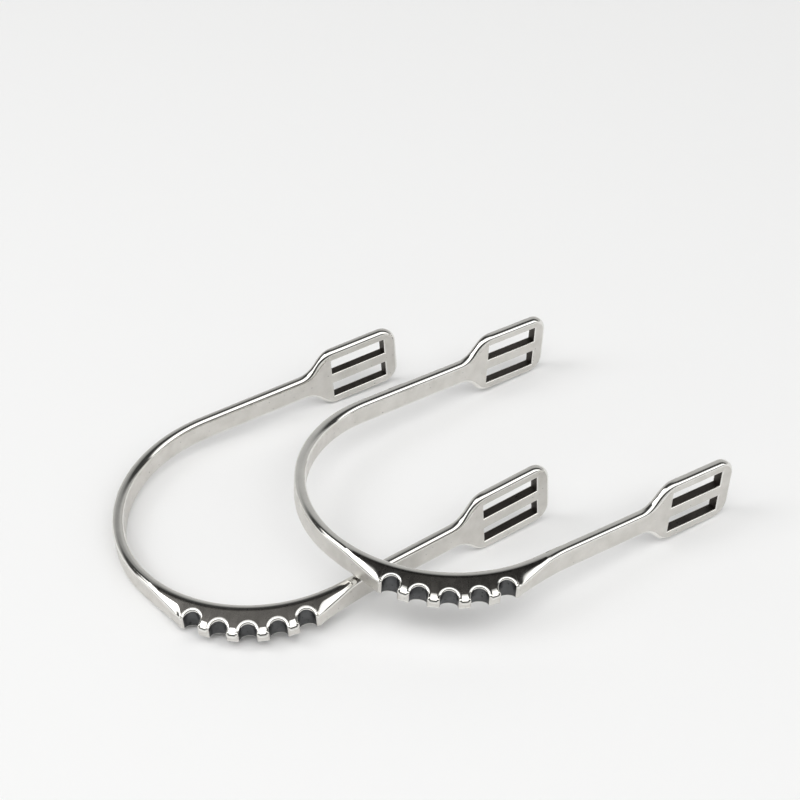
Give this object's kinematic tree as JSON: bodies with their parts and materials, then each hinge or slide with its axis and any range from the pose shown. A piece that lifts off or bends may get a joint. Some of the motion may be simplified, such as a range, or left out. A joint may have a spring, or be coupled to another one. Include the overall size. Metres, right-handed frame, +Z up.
{
  "type": "pair of comb spurs",
  "caption": "Pair of short stainless steel riding spurs with a notched comb at the heel and double-slotted strap plates.",
  "frame": {"origin": "on the floor, under the middle of the pair's bounding box", "axes": "+X forward along the spurs' arms, towards the strap plates; +Z up; +Y to the left of +X"},
  "size_m": [0.139, 0.1022, 0.0188],
  "materials": {
    "spur_steel": "satin faces with polished edges, solid cast stainless steel"
  },
  "bodies": {
    "lower": {"lower_spur": "spur_steel"},
    "upper": {"upper_spur": "spur_steel"}
  },
  "joints": [
    {"name": "upper_spur_lift", "type": "slide", "parent": "lower", "child": "upper", "axis": [0, 0, 1], "range_m": [0, 0.06]}
  ]
}
